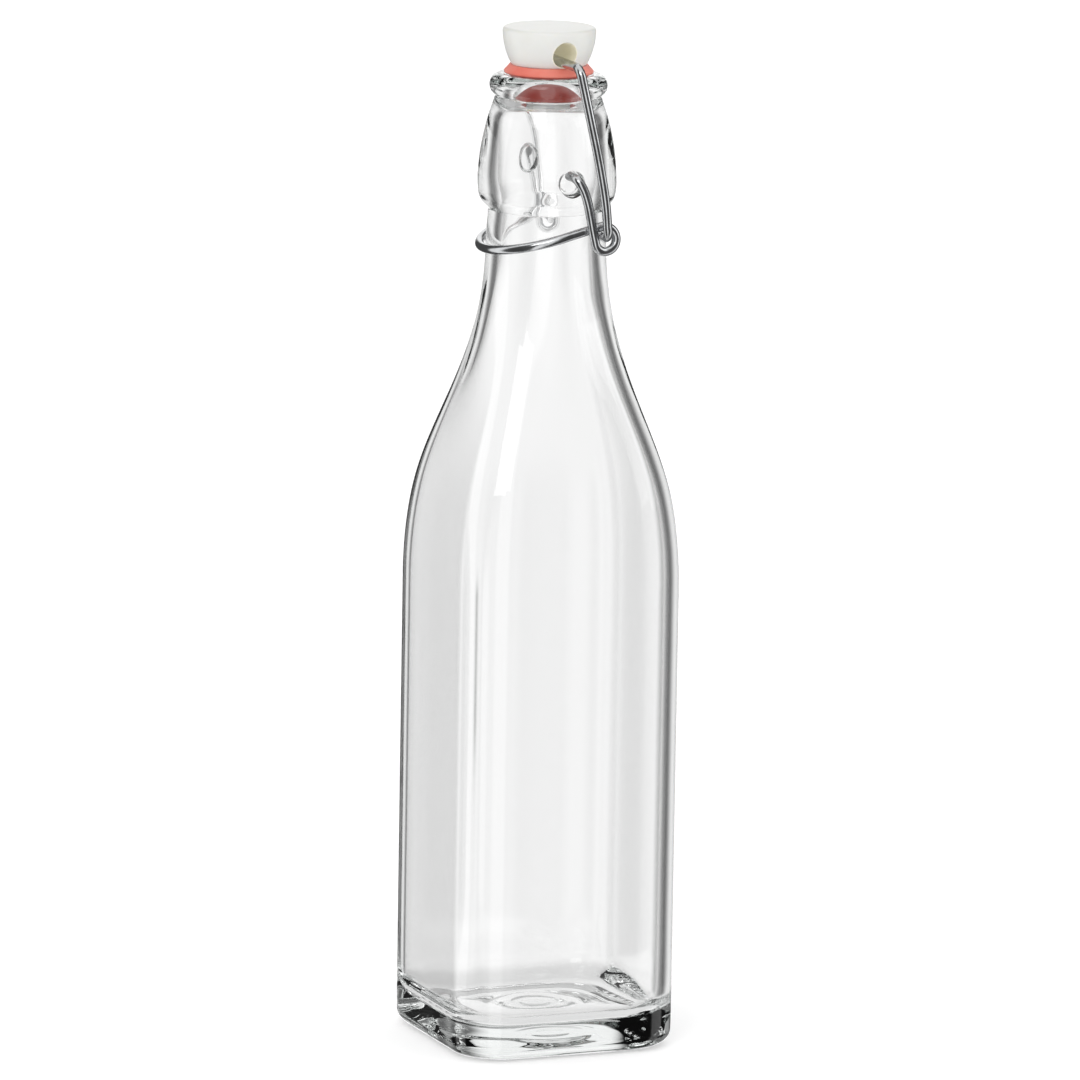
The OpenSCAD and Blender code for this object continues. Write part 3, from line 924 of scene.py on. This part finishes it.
def layFloor():
    dropSelection()
    bpy.ops.mesh.primitive_plane_add(size=studio["floorSize"], location=(0, 0, -0.0002))
    floor = bpy.context.object
    floor.name = "studioFloor"
    material, tree, shader, output = newMaterial("paleFloor")
    shader.inputs["Base Color"].default_value = studio["floorColour"]
    shader.inputs["Roughness"].default_value = 0.9
    shader.inputs["Specular IOR Level"].default_value = 0.1
    shader.inputs["Emission Color"].default_value = (1, 1, 1, 1)
    shader.inputs["Emission Strength"].default_value = studio["floorGlow"]
    side = tree.nodes.new("ShaderNodeNewGeometry")
    clear = tree.nodes.new("ShaderNodeBsdfTransparent")
    pick = tree.nodes.new("ShaderNodeMixShader")
    tree.links.new(side.outputs["Backfacing"], pick.inputs["Fac"])
    tree.links.new(shader.outputs["BSDF"], pick.inputs[1])
    tree.links.new(clear.outputs["BSDF"], pick.inputs[2])
    tree.links.new(pick.outputs["Shader"], output.inputs["Surface"])
    floor.data.materials.append(material)
    floor.visible_transmission = False
    floor.visible_glossy = False


def blendValues(tree, factor, a, b):
    node = tree.nodes.new("ShaderNodeMix")
    for title, value in (("Factor", factor), ("A", a), ("B", b)):
        if isinstance(value, (int, float)):
            node.inputs[title].default_value = value
        else:
            tree.links.new(value, node.inputs[title])
    return node.outputs["Result"]


def awayFrom(tree, turn, degrees, period):
    # angle in radians between the direction and the nearest of the evenly spaced bearings
    period = math.radians(period)
    shifted = mathNode(tree, "ADD", turn,
                       period * math.ceil(4 * math.pi / period) - math.radians(degrees) + period / 2)
    return mathNode(tree, "ABSOLUTE",
                    mathNode(tree, "SUBTRACT", mathNode(tree, "MODULO", shifted, period), period / 2))


def lightWorld():
    world = bpy.data.worlds.new("studioWorld")
    bpy.context.scene.world = world
    world.use_nodes = True
    tree = world.node_tree
    tree.nodes.clear()
    output = tree.nodes.new("ShaderNodeOutputWorld")
    place = tree.nodes.new("ShaderNodeTexCoord")
    split = tree.nodes.new("ShaderNodeSeparateXYZ")
    tree.links.new(place.outputs["Generated"], split.inputs["Vector"])
    x, y, z = split.outputs
    turn = mathNode(tree, "ARCTAN2", y, x)
    # what shines through glass: a bright ring with a soft dark card every quarter turn
    away = awayFrom(tree, turn, studio["gapFirst"], 90)
    ring = smoothRange(tree, away, math.radians(studio["gapCore"]), math.radians(studio["gapEdge"]),
                       studio["gap"], 1.0)
    below = blendValues(tree, smoothRange(tree, z, -0.35, -0.65), ring, studio["table"])
    through = blendValues(tree, smoothRange(tree, z, 0.3, 0.5), below, studio["ceiling"])
    # what polished surfaces reflect: a dim room with tall soft boxes
    tall = awayFrom(tree, turn, studio["boxFirst"], 90)
    boxes = smoothRange(tree, tall, math.radians(studio["boxHalf"] + 4),
                        math.radians(studio["boxHalf"] - 4), studio["room"], 1.3)
    overhead = smoothRange(tree, z, 0.72, 0.8, 0.0, 1.2)
    reflected = mathNode(tree, "MAXIMUM", boxes, overhead)
    path = tree.nodes.new("ShaderNodeLightPath")
    behindGlass = mathNode(tree, "GREATER_THAN", path.outputs["Transmission Depth"], 0.5)
    glossy = blendValues(tree, behindGlass, reflected, studio["haze"])
    solid = blendValues(tree, path.outputs["Is Diffuse Ray"], glossy, studio["soft"])
    level = blendValues(tree, path.outputs["Is Transmission Ray"], solid, through)
    around = tree.nodes.new("ShaderNodeBackground")
    tree.links.new(level, around.inputs["Color"])
    seen = tree.nodes.new("ShaderNodeBackground")
    pick = tree.nodes.new("ShaderNodeMixShader")
    seen.inputs["Color"].default_value = (1, 1, 1, 1)
    tree.links.new(path.outputs["Is Camera Ray"], pick.inputs["Fac"])
    tree.links.new(around.outputs["Background"], pick.inputs[1])
    tree.links.new(seen.outputs["Background"], pick.inputs[2])
    tree.links.new(pick.outputs["Shader"], output.inputs["Surface"])


def addSoftLight(name, place, size, power):
    dropSelection()
    bpy.ops.object.light_add(type="AREA", location=place)
    light = bpy.context.object
    light.name = name
    light.data.shape = "RECTANGLE"
    light.data.size, light.data.size_y = size
    light.data.energy = power
    aim = Vector(studio["target"]) - Vector(place)
    light.rotation_euler = aim.to_track_quat("-Z", "Y").to_euler()
    return light


def placeCamera():
    turn, lift = math.radians(studio["azimuth"]), math.radians(studio["elevation"])
    back = Vector((math.sin(turn) * math.cos(lift), -math.cos(turn) * math.cos(lift), math.sin(lift)))
    target = Vector(studio["target"])
    right = (-back).cross(Vector((0, 0, 1))).normalized()
    up = right.cross(-back)
    eye = target + back * studio["distance"]
    aim = target + right * studio["aimRight"] + up * studio["aimUp"]
    dropSelection()
    bpy.ops.object.camera_add(location=eye)
    camera = bpy.context.object
    camera.name = "studioCamera"
    camera.data.lens = studio["lens"]
    camera.data.sensor_width = 36
    camera.data.clip_end = 50
    look = (aim - eye).to_track_quat("-Z", "Y")
    roll = Matrix.Rotation(math.radians(studio["roll"]), 4, (aim - eye).normalized())
    camera.rotation_euler = (roll.inverted() @ look.to_matrix().to_4x4()).to_euler()
    bpy.context.scene.camera = camera


layFloor()
lightWorld()
addSoftLight("keyLight", (-1.6, -1.8, 1.9), (1.4, 1.4), 17)
addSoftLight("fillLight", (1.9, -1.2, 1.2), (1.2, 1.6), 5)
placeCamera()
bpy.context.scene.view_settings.view_transform = "Standard"
bpy.context.scene.cycles.max_bounces = 40
bpy.context.scene.cycles.transmission_bounces = 40
bpy.context.scene.cycles.glossy_bounces = 16
bpy.context.scene.cycles.transparent_max_bounces = 12
print("stage: studio")
